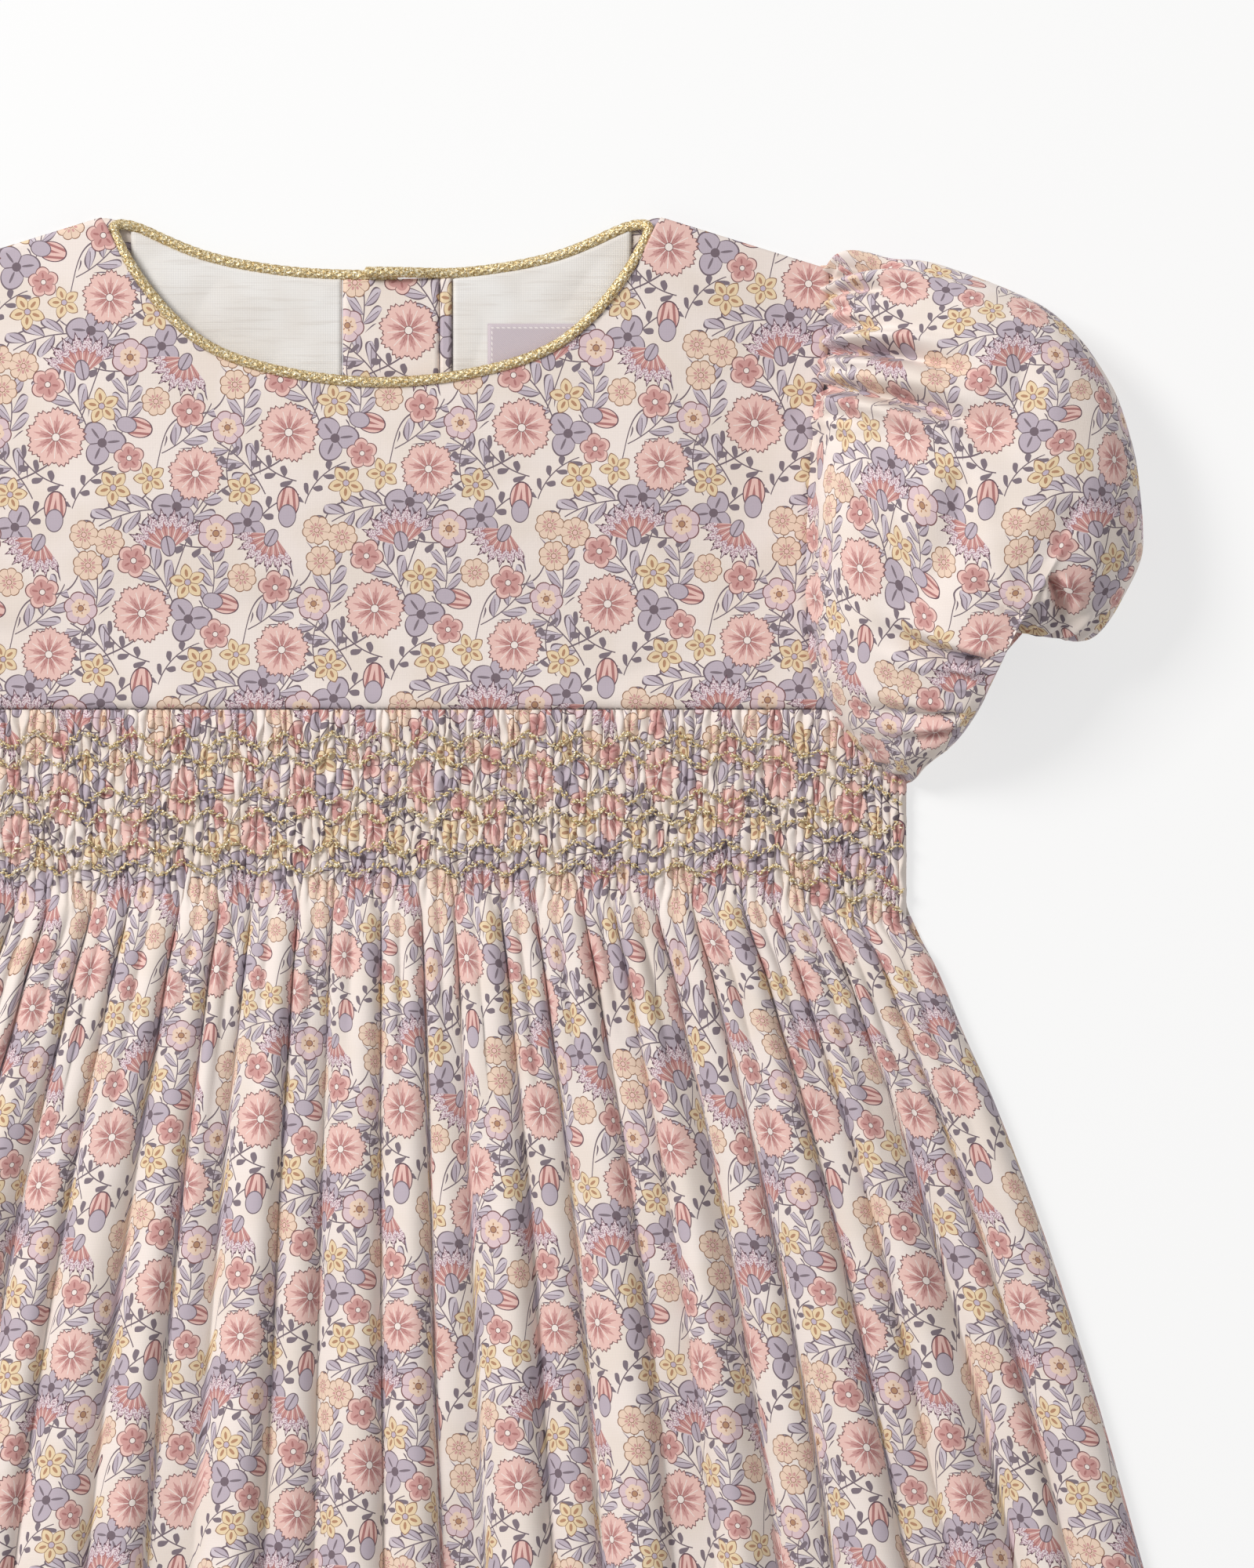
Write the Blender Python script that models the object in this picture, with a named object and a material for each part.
"""A child's smocked dress with puffed sleeves, lying flat with its front upwards.

Lengths are in millimetres until a mesh is made. +X is to the viewer's right, +Y runs
towards the neck, and the dress lies on z = 0. The front lies on the back, and only the
sleeves are filled out.
"""

import math
from collections import namedtuple

import bmesh
import bpy
import numpy as np

MM = 0.001

# Cloth and seams
CLOTH = 1.2
LAYER_GAP = 0.3
SEAM_HALF_GAP = 0.18
SMOOTH_ANGLE = math.radians(35)

# Levels on the dress, along Y
HEM_Y = -249.5
BODICE_SEAM_Y = 123.6
SMOCK_LOW_Y = 80.6
SMOCK_END_DROOP = 9.0
SMOCK_DROOP_FROM_X = 92.0
BACK_WAIST_Y = 71.0
LINING_LOW_Y = 200.0

# Widths, along X
SMOCK_HALF = 134.2
SHOULDER_POINT_X = 114.2
SHOULDER_POINT_Y = 236.2
NECK_CORNER_X = 71.2
NECK_CORNER_Y = 249.4
BODICE_CORNER_X = 114.8

# Smocked pleats on the front
SMOCK_PLEATS = 120
SMOCK_BASE = 1.3
SMOCK_RELIEF = 0.95
SMOCK_PULL = 0.22
SMOCK_INNER_EVERY = 6

# Skirt folds
FRONT_FOLDS = 26
FOLD_HEIGHT = 4.6
FOLD_WALL = 1.5
FRONT_SKIRT_CLEAR = 2.25
BACK_FOLDS = 18
BACK_TROUGH = 0.7
BACK_TROUGH_END = 0.6

# Bodice lift over the lining and label
FRONT_EDGE_Z = 1.5
CROWN = 2.8

# Sleeves: gathers at the head and at the cuff
HEAD_GATHERS = 5
HEAD_GATHER_SPAN = 0.40
CUFF_GATHERS = 13
HEAD_RELIEF = 1.8
CUFF_RELIEF = 1.3
SLEEVE_WALL = 1.2
CUFF_WALL = 1.3
CUFF_INSET = 0.35
CUFF_DEPTH = 7.0
SLEEVE_LOW_Z = 0.32
SLEEVE_SEAM_GAP = 0.95
TUCK_LIFT = 3.2
TUCK_RUN = 2.5

# Piping round the neck
PIPING_RADIUS = 1.4
PIPING_CLEAR = 1.75
PIPING_SIDES = 6
PIPING_FRONT_Z = 5.4
PIPING_BACK_Z = 1.6
PIPING_LAP_Z = 4.75
PIPING_LAP_X = 4.4
PIPING_LAP_RISE = 0.8

# Back opening, lining and label
PLACKET_LEFT_X = -9.8
PLACKET_RIGHT_X = 14.8
PLACKET_FOLD_X = 18.0
LINING_HALF = 64.0
LABEL_LEFT_X = 27.2
LABEL_TOP_Y = 222.2
LABEL_WIDTH = 34.0
LABEL_DEPTH = 13.0
LABEL_WALL = 1.0
LINING_WALL = 1.0

Point = namedtuple("Point", "x y")
SleeveRow = namedtuple("SleeveRow", "along head_x head_y under_x under_y height lift bow")
Fold = namedtuple("Fold", "width height reach")

# Centre line of the piping, right half
FRONT_NECK = [
    Point(0, 207.0),
    Point(16, 208.2),
    Point(31, 211.2),
    Point(43, 215.4),
    Point(52, 222.0),
    Point(60, 231.2),
    Point(65.4, 239.4),
    Point(69.2, 247.4),
]
BACK_NECK = [
    Point(0, 234.5),
    Point(18, 235.0),
    Point(32, 236.6),
    Point(44, 239.1),
    Point(54, 242.9),
    Point(61, 246.4),
    Point(66.6, 249.4),
]

# The armhole from the underarm up to the shoulder, right side
ARMHOLE = [
    Point(134.2, 105.2),
    Point(128.6, 108.2),
    Point(121.2, 115.2),
    Point(114.8, 123.8),
    Point(110.8, 133.4),
    Point(109.8, 143.0),
    Point(109.4, 158.0),
    Point(109.6, 171.0),
    Point(110.2, 184.0),
    Point(111.4, 196.0),
    Point(113.0, 207.0),
    Point(114.4, 222.0),
    Point(114.2, 236.2),
]

# Side of the skirt from the hem up, right side
SKIRT_SIDE = [
    Point(236.8, HEM_Y),
    Point(223.4, -200),
    Point(209.8, -150),
    Point(194.4, -94),
    Point(183.6, -55),
    Point(171.0, -15),
    Point(156.2, 24.6),
    Point(149.0, 40.6),
    Point(142.4, 56.6),
    Point(136.2, 68.6),
    Point(134.2, 74.0),
]

# Rings of the right sleeve, from the armhole to the cuff. The first pair of places is on the
# head's edge, the second on the underarm's. Bow is how far the ring bends towards the body.
SLEEVE_ROWS = [
    SleeveRow(0.00, 114.5, 236.5, 134.7, 104.8, 4.6, 0.0, 0),
    SleeveRow(0.04, 117.5, 238.6, 135.4, 105.0, 12.0, 0.0, 0),
    SleeveRow(0.10, 124.0, 239.0, 136.8, 106.0, 18.0, 0.0, 0),
    SleeveRow(0.18, 136.5, 237.6, 139.0, 108.6, 24.0, 0.0, 0),
    SleeveRow(0.28, 152.5, 233.8, 141.6, 111.0, 29.0, 0.0, 0),
    SleeveRow(0.38, 167.5, 227.0, 144.2, 113.0, 32.0, 0.0, 0),
    SleeveRow(0.49, 180.5, 215.5, 147.0, 115.8, 34.0, 0.0, 0),
    SleeveRow(0.60, 189.0, 200.6, 148.8, 118.0, 34.0, 0.0, 0),
    SleeveRow(0.70, 193.6, 182.0, 149.8, 119.6, 33.0, 0.0, 5),
    SleeveRow(0.79, 194.2, 165.5, 150.2, 120.6, 31.5, 0.0, 9),
    SleeveRow(0.86, 188.8, 151.5, 150.2, 121.4, 29.5, 1.0, 12),
    SleeveRow(0.92, 179.5, 141.8, 149.6, 121.8, 27.0, 2.8, 13),
    SleeveRow(0.96, 171.8, 143.6, 147.6, 123.2, 24.0, 3.4, 11),
    SleeveRow(1.00, 160.6, 150.2, 142.3, 129.6, 21.0, 4.8, 0),
]
CUFF_WAY = Point(0.746, -0.663)

# The skirt's folds, as shares of the width and of the height. Reach is how far down a fold
# runs before it opens out, 1 at the hem.
FOLDS = [
    Fold(1.00, 0.95, 1.3),
    Fold(0.80, 0.55, 0.45),
    Fold(1.15, 1.10, 1.3),
    Fold(0.85, 0.70, 0.80),
    Fold(1.20, 0.90, 1.3),
    Fold(0.75, 0.50, 0.35),
    Fold(1.05, 1.15, 1.3),
    Fold(0.90, 0.65, 0.60),
    Fold(1.25, 1.00, 1.3),
    Fold(0.80, 0.60, 0.50),
    Fold(1.10, 1.05, 1.3),
    Fold(0.90, 0.75, 0.90),
    Fold(1.25, 0.85, 1.3),
]
LEFT_FOLDS_START = 5

Finish = namedtuple("Finish", "colour roughness metallic")
FINISHES = {
    "floral_cotton": Finish((0.60, 0.44, 0.40), 0.85, 0.0),
    "white_cotton": Finish((0.74, 0.71, 0.67), 0.85, 0.0),
    "gold_braid": Finish((0.60, 0.44, 0.24), 0.40, 0.6),
    "woven_label": Finish((0.56, 0.51, 0.54), 0.60, 0.0),
}


def smooth_curve(rows, level_start=False):
    """A smooth curve through rows of (place, value) that doesn't overshoot between them."""
    places, values = np.array(rows, float).T
    steps = np.diff(places)
    slopes = np.diff(values) / steps
    tangents = np.zeros(len(places))
    tangents[0] = 0 if level_start else slopes[0]
    tangents[-1] = slopes[-1]
    for i in range(1, len(places) - 1):
        if slopes[i - 1] * slopes[i] > 0:
            tangents[i] = 2 * slopes[i - 1] * slopes[i] / (slopes[i - 1] + slopes[i])

    def value(place):
        place = min(max(place, places[0]), places[-1])
        i = int(np.clip(np.searchsorted(places, place) - 1, 0, len(places) - 2))
        t = (place - places[i]) / steps[i]
        start = values[i] * (1 + 2 * t) * (1 - t) ** 2 + tangents[i] * steps[i] * t * (1 - t) ** 2
        end = values[i + 1] * t * t * (3 - 2 * t) - tangents[i + 1] * steps[i] * t * t * (1 - t)
        return float(start + end)

    return value


def ease(value, low=0.0, high=1.0):
    """0 below low, 1 above high, and smooth between."""
    share = min(max((value - low) / (high - low), 0.0), 1.0)
    return share * share * (3 - 2 * share)


front_neck_y = smooth_curve([(p.x, p.y) for p in FRONT_NECK], level_start=True)
back_neck_y = smooth_curve([(p.x, p.y) for p in BACK_NECK], level_start=True)
armhole_x = smooth_curve([(p.y, p.x) for p in ARMHOLE])
armhole_low_y = smooth_curve([(p.x, p.y) for p in reversed(ARMHOLE[:4])])
skirt_side_x = smooth_curve([(p.y, p.x) for p in SKIRT_SIDE])


def half_width(y):
    """The dress's half width at a level, without its sleeves."""
    if y > ARMHOLE[0].y:
        return armhole_x(y)
    if y > SKIRT_SIDE[-1].y:
        return SMOCK_HALF
    return skirt_side_x(y)


def seam_edge(y):
    """A bodice panel's right edge, held back from the armhole seam's line."""
    lean = half_width(y - 0.5) - half_width(y + 0.5)
    return half_width(y) - 1.5 * SEAM_HALF_GAP * math.hypot(1, lean)


def left_seam_edge(y):
    return -seam_edge(y)


def edge_beside(curve, half, away, count=33):
    """The right half of a neckline moved off the piping's centre line, as xs and ys."""
    xs = [half * math.sin(math.pi / 2 * i / (count - 1)) for i in range(count)]
    points = np.array([(x, curve(x)) for x in xs])
    runs = np.gradient(points, axis=0)
    normals = np.stack([runs[:, 1], -runs[:, 0]], axis=1)
    normals /= np.linalg.norm(normals, axis=1)[:, None]
    normals[0] = (0, -1)
    return (points + away * normals).T


FRONT_EDGE = edge_beside(front_neck_y, FRONT_NECK[-1].x, PIPING_CLEAR)
BACK_EDGE = edge_beside(back_neck_y, BACK_NECK[-1].x, PIPING_CLEAR)


def shoulder_top(x, edge):
    """The upper edge of a bodice panel: its neckline, then its shoulder seam."""
    x = abs(x)
    if x <= edge[0][-1]:
        return float(np.interp(x, *edge))
    xs = (edge[0][-1], NECK_CORNER_X, SHOULDER_POINT_X)
    ys = (edge[1][-1], NECK_CORNER_Y, SHOULDER_POINT_Y)
    return float(np.interp(x, xs, ys))


def front_top(x):
    return shoulder_top(x, FRONT_EDGE)


def back_top(x):
    return shoulder_top(x, BACK_EDGE)


def smock_top(x):
    """The smocked band's upper edge: the bodice seam, cut off by the armholes at its ends."""
    if abs(x) <= BODICE_CORNER_X:
        return BODICE_SEAM_Y - SEAM_HALF_GAP
    return armhole_low_y(abs(x)) - 1.5 * SEAM_HALF_GAP


def smock_bottom(x):
    return SMOCK_LOW_Y - SMOCK_END_DROOP * ease(abs(x), SMOCK_DROOP_FROM_X, SMOCK_HALF)


def panel_points(columns, rows, left, right, bottom, top):
    """Plan places of a panel, rows by columns. left and right give x from y, the others y from x."""
    places = np.zeros((len(rows), len(columns), 2))
    for i, up in enumerate(rows):
        for j, across in enumerate(columns):
            y = 0.0
            x = left(y) + (right(y) - left(y)) * across
            for _ in range(12):
                y = bottom(x) + (top(x) - bottom(x)) * up
                x = left(y) + (right(y) - left(y)) * across
            places[i, j] = (x, y)
    return places


def raised(places, height):
    """A grid of points at the height that the function gives for each x and y."""
    heights = [[height(x, y) for x, y in row] for row in places]
    return np.dstack([places, np.array(heights)])


def finish(material_name):
    material = bpy.data.materials.get(material_name)
    if material is None:
        colour, roughness, metallic = FINISHES[material_name]
        material = bpy.data.materials.new(material_name)
        material.use_nodes = True
        shader = material.node_tree.nodes["Principled BSDF"]
        shader.inputs["Base Color"].default_value = (*colour, 1)
        shader.inputs["Roughness"].default_value = roughness
        shader.inputs["Metallic"].default_value = metallic
    return material


def add_object(name, mesh_builder, material_name):
    """Turns a bmesh in millimetres into a named object in metres."""
    bmesh.ops.scale(mesh_builder, vec=(MM, MM, MM), verts=mesh_builder.verts)
    bmesh.ops.recalc_face_normals(mesh_builder, faces=mesh_builder.faces)
    mesh = bpy.data.meshes.new(name)
    mesh_builder.to_mesh(mesh)
    mesh_builder.free()
    mesh.shade_smooth()
    mesh.set_sharp_from_angle(angle=SMOOTH_ANGLE)
    mesh.materials.append(finish(material_name))
    obj = bpy.data.objects.new(name, mesh)
    bpy.context.scene.collection.objects.link(obj)
    return obj


def add_grid(mesh_builder, points, closed):
    """Adds a grid of points and its faces, and returns its vertices row by row."""
    rows = [[mesh_builder.verts.new(point) for point in row] for row in points]
    for low, high in zip(rows, rows[1:]):
        ring = list(zip(low, high))
        pairs = list(zip(ring, ring[1:]))
        if closed:
            pairs.append((ring[-1], ring[0]))
        for (a, b), (c, d) in pairs:
            mesh_builder.faces.new((a, c, d, b))
    return rows


def zip_edges(mesh_builder, first, second):
    """Joins two rows of vertices that may differ in number, from end to end."""
    i = j = 0
    while i < len(first) - 1 or j < len(second) - 1:
        next_first = (i + 1) / (len(first) - 1)
        next_second = (j + 1) / (len(second) - 1)
        if j == len(second) - 1 or (i < len(first) - 1 and next_first <= next_second):
            mesh_builder.faces.new((first[i], first[i + 1], second[j]))
            i += 1
        else:
            mesh_builder.faces.new((first[i], second[j + 1], second[j]))
            j += 1


def add_wall(name, outer, inner, material_name, closed=False):
    """A closed cloth wall between an outer grid and an inner grid of the same outline."""
    mesh_builder = bmesh.new()
    out = add_grid(mesh_builder, outer, closed)
    into = add_grid(mesh_builder, inner, closed)
    if closed:
        zip_edges(mesh_builder, out[0] + out[0][:1], into[0] + into[0][:1])
        zip_edges(mesh_builder, out[-1] + out[-1][:1], into[-1] + into[-1][:1])
    else:
        zip_edges(mesh_builder, out[0], into[0])
        zip_edges(mesh_builder, out[-1], into[-1])
        for end in (0, -1):
            zip_edges(mesh_builder, [row[end] for row in out], [row[end] for row in into])
    return add_object(name, mesh_builder, material_name)


def flat_panel(name, places, low_z, wall, material_name):
    """A panel that lies level, such as one that rests on the surface."""
    under = raised(places, lambda x, y: low_z)
    over = raised(places, lambda x, y: low_z + wall)
    return add_wall(name, over, under, material_name)


def even(count):
    return [i / (count - 1) for i in range(count)]


def level(value):
    return lambda place: value


def back_panels():
    """Two back bodice panels that lap at the opening, and the gathered back skirt."""
    side_row = (ARMHOLE[0].y - BACK_WAIST_Y) / (SHOULDER_POINT_Y - BACK_WAIST_Y)
    rows = [0, side_row, side_row + 0.03, side_row + 0.07, side_row + 0.11, 0.36, 0.43, 0.6, 0.8, 1]
    columns = even(11)

    low = level(BACK_WAIST_Y)
    right = panel_points(columns, rows, level(PLACKET_LEFT_X), seam_edge, low, back_top)
    opening = level(PLACKET_LEFT_X - LAYER_GAP)
    left = panel_points(columns, rows, left_seam_edge, opening, low, back_top)
    flat_panel("back_bodice_right", right, 0.0, CLOTH, "floral_cotton")
    flat_panel("back_bodice_left", left, 0.0, CLOTH, "floral_cotton")

    columns = [(k + part) / BACK_FOLDS for k in range(BACK_FOLDS) for part in (0, 0.36, 0.68)] + [1]
    rows = (0, 0.45, 0.72, 0.9, 1)
    places = panel_points(
        columns, rows, lambda y: -half_width(y), half_width, level(HEM_Y), level(BACK_WAIST_Y - LAYER_GAP)
    )
    under = np.dstack([places, np.zeros(places.shape[:2])])
    for i, up in enumerate(rows):
        for j in range(2, len(columns) - 3, 3):
            under[i, j, 2] = BACK_TROUGH * ease(up, 1 - BACK_TROUGH_END, 1.0)
    over = under + (0, 0, CLOTH)
    add_wall("back_skirt", over, under, "floral_cotton")


def crown(x, y):
    """How far the front bodice rises off its edge level, over the lining and the label."""
    across = 1 - ease(abs(x), 66, SHOULDER_POINT_X - 3)
    return CROWN * across * ease(y, 140, 188)


def front_bodice():
    """The plain front panel, from the smocking's seam up to the neck and shoulders."""
    xs = [0, 10, 20, 30, 39, 46, 52, 57.5, 62, 65.5, 68.3, 70, NECK_CORNER_X, 80, 91, 103]
    right_half = [0.5 + x / SHOULDER_POINT_X / 2 for x in xs] + [1]
    columns = [1 - c for c in reversed(right_half[1:])] + right_half
    rows = (0, 0.06, 0.14, 0.28, 0.46, 0.64, 0.82, 1)

    low = level(BODICE_SEAM_Y + SEAM_HALF_GAP)
    places = panel_points(columns, rows, left_seam_edge, seam_edge, low, front_top)
    under = raised(places, lambda x, y: FRONT_EDGE_Z + crown(x, y))
    over = under + (0, 0, CLOTH)
    add_wall("front_bodice", over, under, "floral_cotton")


def front_smocking():
    """The smocked band: raised pleats, drawn together in turn, over a plain inside."""
    halves = 2 * SMOCK_PLEATS
    columns = even(halves + 1)
    rows = (0, 0.16, 0.38, 0.6, 0.82, 1)
    left, right = level(-SMOCK_HALF + 0.1), level(SMOCK_HALF - 0.1)
    places = panel_points(columns, rows, left, right, smock_bottom, smock_top)
    pitch = 2 * SMOCK_HALF / SMOCK_PLEATS
    over = np.dstack([places, np.full(places.shape[:2], FRONT_EDGE_Z + SMOCK_BASE)])
    for i in range(len(rows)):
        for j in range(1, halves, 2):
            pleat = j // 2
            over[i, j, 2] += SMOCK_RELIEF
            if 0 < i < len(rows) - 1:
                over[i, j, 0] += SMOCK_PULL * pitch * (-1) ** (pleat + i)
    inner_columns = columns[::SMOCK_INNER_EVERY]
    inner = panel_points(inner_columns, rows, left, right, smock_bottom, smock_top)
    under = raised(inner, level_height(FRONT_EDGE_Z))
    add_wall("front_smocking", over, under, "floral_cotton")


def level_height(value):
    return lambda x, y: value


def skirt_folds():
    """The front skirt's folds from left to right: where each starts and ends, and its row."""
    right_half = FOLDS
    left_half = [FOLDS[(LEFT_FOLDS_START + k) % len(FOLDS)] for k in range(FRONT_FOLDS // 2)]
    chain = left_half + right_half
    edges = np.concatenate([[0], np.cumsum([fold.width for fold in chain])])
    return edges / edges[-1], chain


def fold_rise(fold, part, up):
    """A fold's rise at a part of its width, and at a share of the way up from the hem."""
    down = 1 - up
    shape = math.sin(math.pi * part) ** 1.6
    growth = 0.42 + 0.58 * ease(down, 0, 0.35)
    open_out = 1 - ease(down, fold.reach - 0.2, fold.reach + 0.15)
    return FOLD_HEIGHT * fold.height * shape * growth * open_out


def front_skirt():
    """The gathered front skirt: a waved wall whose hollows rest on the back skirt."""
    edges, chain = skirt_folds()
    parts = (0, 0.27, 0.5, 0.73)
    columns, owners = [], []
    for k, fold in enumerate(chain):
        for part in parts:
            columns.append(edges[k] + (edges[k + 1] - edges[k]) * part)
            owners.append((fold, part))
    columns.append(1.0)
    owners.append((chain[-1], 0))
    rows = (0, 0.05, 0.32, 0.58, 0.8, 0.93, 1)
    places = panel_points(
        columns,
        rows,
        lambda y: -half_width(y),
        half_width,
        level(HEM_Y),
        lambda x: smock_bottom(x) - LAYER_GAP,
    )
    under = np.zeros((len(rows), len(columns), 3))
    for i, up in enumerate(rows):
        for j, across in enumerate(columns):
            inwards = ease(min(across, 1 - across), 0, 0.03)
            fold, part = owners[j]
            z = FRONT_EDGE_Z + (FRONT_SKIRT_CLEAR - FRONT_EDGE_Z) * inwards
            z += fold_rise(fold, part, up) * inwards
            under[i, j] = (*places[i, j], z)
    add_wall("front_skirt", under + (0, 0, FOLD_WALL), under, "floral_cotton")


def armhole_place(share):
    """A place on the armhole, 0 at the shoulder and 1 at the underarm, just outside the seam."""
    y = SLEEVE_ROWS[0].head_y + (SLEEVE_ROWS[0].under_y - SLEEVE_ROWS[0].head_y) * share
    lean = armhole_x(y + 0.5) - armhole_x(y - 0.5)
    away = np.array((1.0, -lean)) / math.hypot(1.0, lean)
    return np.array((armhole_x(y), y)) + SLEEVE_SEAM_GAP * away


def sleeve_ring(row, angle, low_share=SLEEVE_LOW_Z):
    """A point of a sleeve's ring. The angle runs over the top to pi, then back underneath."""
    share = 0.5 - 0.5 * math.cos(angle)
    head = np.array((row.head_x, row.head_y))
    under = np.array((row.under_x, row.under_y))
    chord = head + (under - head) * share
    first = SLEEVE_ROWS[0]
    first_chord = np.array((first.head_x, first.head_y))
    first_chord += (np.array((first.under_x, first.under_y)) - first_chord) * share
    seam = (armhole_place(share) - first_chord) * (1 - ease(row.along, 0.0, 0.5))
    run = (under - head) / np.linalg.norm(under - head)
    inward = np.array((run[1], -run[0]))
    place = chord + seam + inward * row.bow * math.sin(math.pi * share) ** 1.5
    middle = low_share * row.height
    lift = math.sin(angle)
    if lift >= 0:
        z = middle + (row.height - middle) * lift**0.75
    else:
        z = row.lift + (middle - row.lift) * max(0.0, 1 + 2 * lift) ** 1.5
    return np.array((*place, z))


def head_gathers(row, angle):
    """Rise of the gathers where the sleeve's head is eased into the armhole."""
    span = HEAD_GATHER_SPAN * math.pi
    if not 0 < angle < span:
        return 0.0
    fade = 1 - ease(row.along, 0.10, 0.42)
    start = 0.35 + 0.65 * ease(row.along, 0.0, 0.06)
    return HEAD_RELIEF * fade * start * abs(math.sin(HEAD_GATHERS * math.pi * angle / span))


def cuff_gathers(along, index):
    """Rise of the gathers that the cuff draws into the sleeve, highest just before its seam."""
    return CUFF_RELIEF * ease(along, 0.82, 0.93) * (1 - ease(along, 0.94, 1.02)) * (index % 2)


def outward(grid):
    """Unit normals of a closed tube of points, pointing away from its inside."""
    around = np.roll(grid, -1, axis=1) - np.roll(grid, 1, axis=1)
    along = np.gradient(grid, axis=0)
    normals = np.cross(around, along)
    normals /= np.linalg.norm(normals, axis=2)[:, :, None]
    centre = grid.mean(axis=1, keepdims=True)
    facing = ((grid - centre) * normals).sum(axis=2).mean()
    return normals if facing > 0 else -normals


def tuck_under(grid, angles):
    """Lifts the sleeve's underside where it turns back to the cuff, clear of what it lies on."""
    progress = grid[:, :, 0] * CUFF_WAY.x + grid[:, :, 1] * CUFF_WAY.y
    turned = np.maximum.accumulate(progress, axis=0) - progress
    for j, angle in enumerate(angles):
        if math.sin(angle) < 0:
            for i in range(len(grid)):
                lift = TUCK_LIFT * ease(turned[i, j], 0, TUCK_RUN)
                grid[i, j, 2] = max(grid[i, j, 2], lift)
    return grid


def sleeve_angles():
    """Angles round a sleeve: closer together on the gathered head than elsewhere."""
    span = HEAD_GATHER_SPAN * math.pi
    head = [span * i / (3 * HEAD_GATHERS) for i in range(3 * HEAD_GATHERS)]
    rest = 4 * CUFF_GATHERS - len(head) - 1
    return head + [span + (2 * math.pi - span) * i / rest for i in range(rest)]


def mirrored(grid, side):
    return grid * (side, 1, 1)


def sleeves():
    """A puffed sleeve on each side: a hollow tube, open at the armhole and at the cuff."""
    angles = sleeve_angles()
    base = np.array([[sleeve_ring(row, a) for a in angles] for row in SLEEVE_ROWS])
    base = tuck_under(base, angles)
    normals = outward(base)
    outer = base.copy()
    for i, row in enumerate(SLEEVE_ROWS):
        for j, angle in enumerate(angles):
            rise = head_gathers(row, angle) + cuff_gathers(row.along, j // 2)
            outer[i, j] += rise * normals[i, j]
    outer[:, :, 2] = np.maximum(outer[:, :, 2], 0.0)
    inner = (base - SLEEVE_WALL * normals)[:, ::2]
    inner[:, :, 2] = np.maximum(inner[:, :, 2], SLEEVE_WALL)
    ends = [row for row in SLEEVE_ROWS if row.along in (0.0, 1.0)]
    cuff_base = np.array([sleeve_ring(ends[-1], a) for a in angles])
    way = np.array((CUFF_WAY.x, CUFF_WAY.y, 0))
    reaches = (LAYER_GAP, 0.35 * CUFF_DEPTH, CUFF_DEPTH)
    for name, side in (("right", 1), ("left", -1)):
        add_wall(
            "sleeve_" + name, mirrored(outer, side), mirrored(inner, side), "floral_cotton", closed=True
        )
        rings = np.array([cuff_base + reach * way for reach in reaches])
        facing = outward(rings)
        dips = np.array([CUFF_INSET + CUFF_RELIEF * ((j // 2) % 2) for j in range(len(angles))])
        out = rings - facing * dips[None, :, None]
        into = (rings - (CUFF_INSET + CUFF_RELIEF + CUFF_WALL) * facing)[:, ::2]
        add_wall("cuff_" + name, mirrored(out, side), mirrored(into, side), "floral_cotton", closed=True)


def neck_path():
    """Centre line of the piping, from its end under the lap, round the front and back to it."""
    points = []
    back_end, front_end = BACK_NECK[-1].x, FRONT_NECK[-1].x
    for x in np.linspace(-PIPING_LAP_X, back_end, 18):
        points.append((-x, back_neck_y(abs(x)), PIPING_BACK_Z))
    for x in front_end * np.sin(np.linspace(-math.pi / 2, math.pi / 2, 41)):
        drop = (PIPING_FRONT_Z - 3.6) * ease(abs(x), 63.5, front_end)
        points.append((x, front_neck_y(abs(x)), PIPING_FRONT_Z - drop))
    for x in np.linspace(back_end, -PIPING_LAP_X, 24):
        lap = 1 - ease(x, PIPING_LAP_X + 1, PIPING_LAP_X + 12)
        z = PIPING_BACK_Z + (PIPING_LAP_Z - PIPING_BACK_Z) * lap
        points.append((x, back_neck_y(abs(x)) + PIPING_LAP_RISE * lap, z))
    return np.array(points)


def soften(path, passes):
    """Rounds the corners of an open path, keeping its ends."""
    for _ in range(passes):
        path = np.vstack([path[:1], (path[:-2] + 2 * path[1:-1] + path[2:]) / 4, path[-1:]])
    return path


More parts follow.
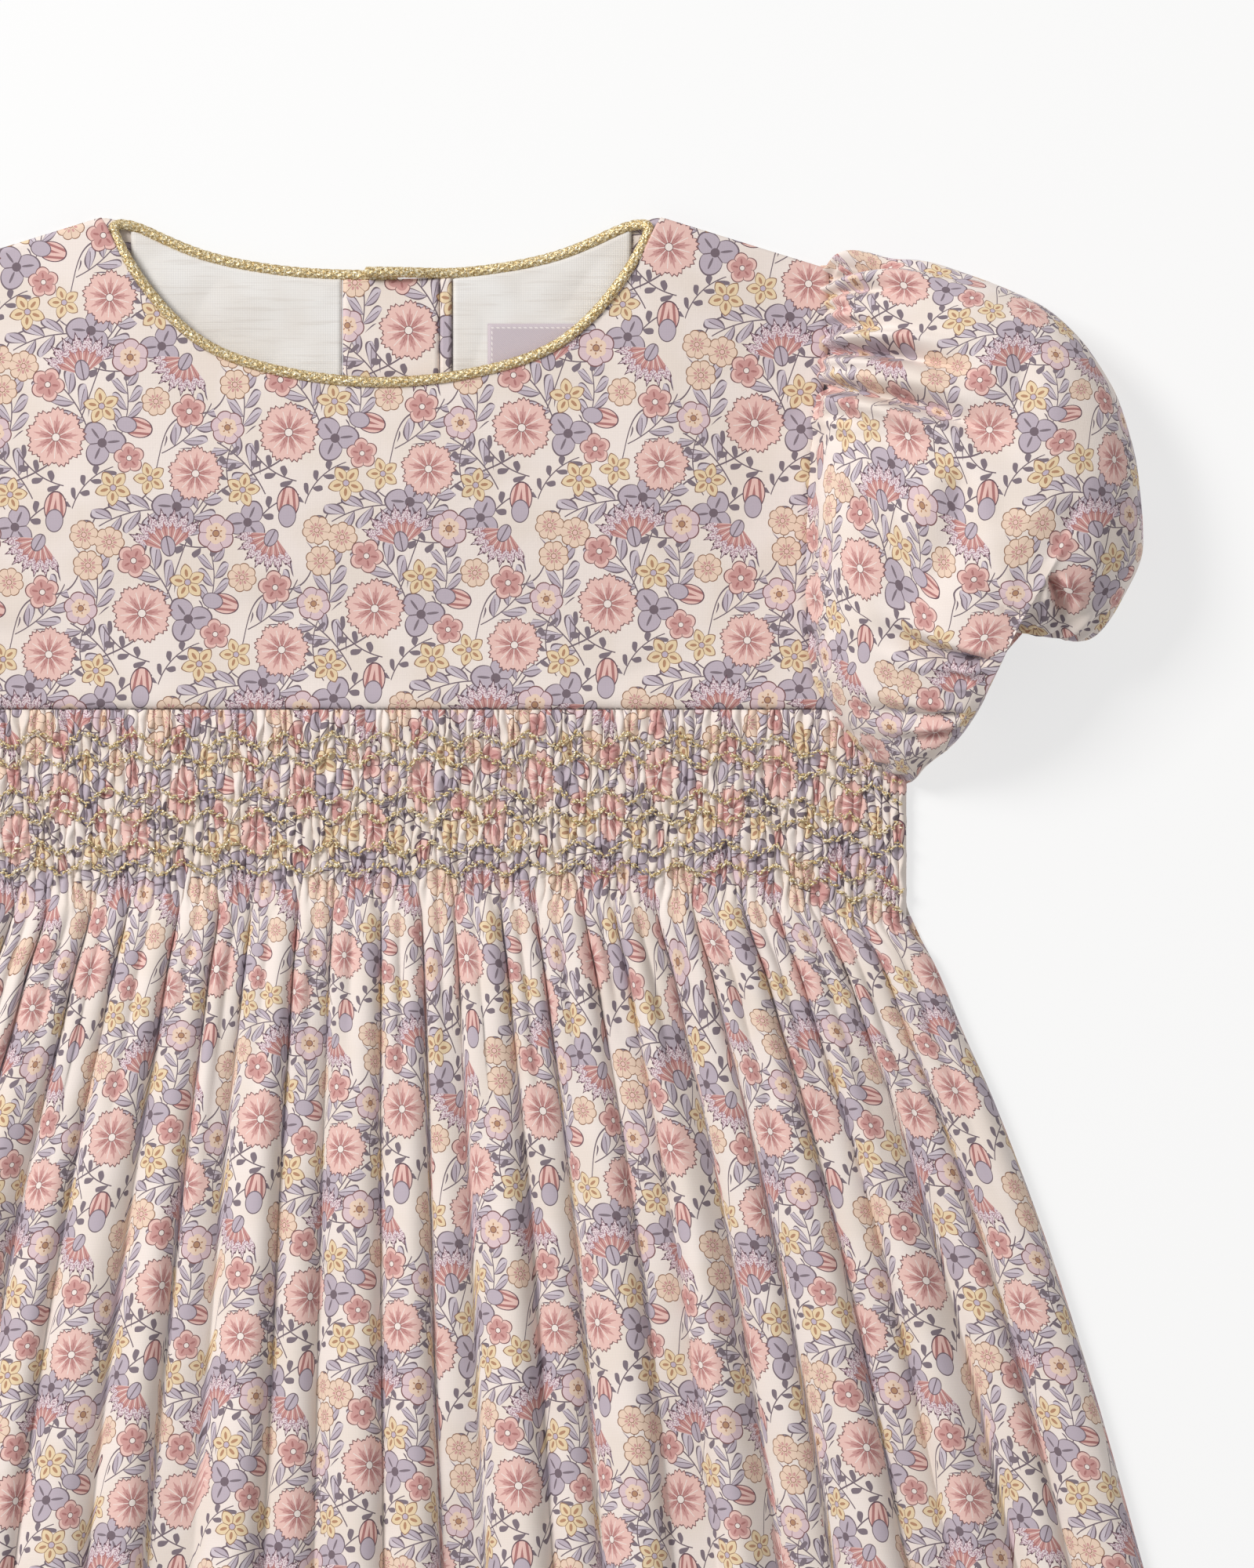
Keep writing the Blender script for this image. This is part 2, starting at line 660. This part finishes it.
def neck_piping():
    """A round piping along the whole neckline, its ends lapped at the centre back."""
    path = soften(neck_path(), 2)
    mesh_builder = bmesh.new()
    runs = np.gradient(path, axis=0)
    rings = []
    for point, run in zip(path, runs):
        run = run / np.linalg.norm(run)
        side = np.cross(run, (0, 0, 1))
        side /= np.linalg.norm(side)
        up = np.cross(side, run)
        angles = [2 * math.pi * k / PIPING_SIDES for k in range(PIPING_SIDES)]
        spokes = [side * math.cos(a) + up * math.sin(a) for a in angles]
        rings.append([point + PIPING_RADIUS * spoke for spoke in spokes])
    vertices = add_grid(mesh_builder, rings, closed=True)
    mesh_builder.faces.new(vertices[0])
    mesh_builder.faces.new(list(reversed(vertices[-1])))
    add_object("neck_piping", mesh_builder, "gold_braid")


def neck_inside():
    """What shows inside the neck: the lining, the opening's facing and a plain woven label."""
    rows = even(4)
    low = level(LINING_LOW_Y)

    def strip(name, left_x, right_x, count, wall, material_name):
        places = panel_points(even(count), rows, level(left_x), level(right_x), low, back_top)
        flat_panel(name, places, CLOTH + LAYER_GAP, wall, material_name)

    strip("lining_left", -LINING_HALF, PLACKET_LEFT_X - LAYER_GAP, 13, LINING_WALL, "white_cotton")
    strip("lining_right", PLACKET_FOLD_X + LAYER_GAP, LINING_HALF, 12, LINING_WALL, "white_cotton")
    strip("back_placket", PLACKET_LEFT_X, PLACKET_RIGHT_X, 6, CLOTH, "floral_cotton")
    strip("placket_fold", PLACKET_RIGHT_X + LAYER_GAP, PLACKET_FOLD_X, 3, 1.6, "floral_cotton")
    label = panel_points(
        (0, 1),
        (0, 1),
        level(LABEL_LEFT_X),
        level(LABEL_LEFT_X + LABEL_WIDTH),
        level(LABEL_TOP_Y - LABEL_DEPTH),
        level(LABEL_TOP_Y),
    )
    label_z = CLOTH + 2 * LAYER_GAP + LINING_WALL
    flat_panel("label", label, label_z, LABEL_WALL, "woven_label")


def main():
    for obj in list(bpy.data.objects):
        bpy.data.objects.remove(obj, do_unlink=True)
    back_panels()
    neck_inside()
    front_bodice()
    front_smocking()
    front_skirt()
    sleeves()
    neck_piping()


main()
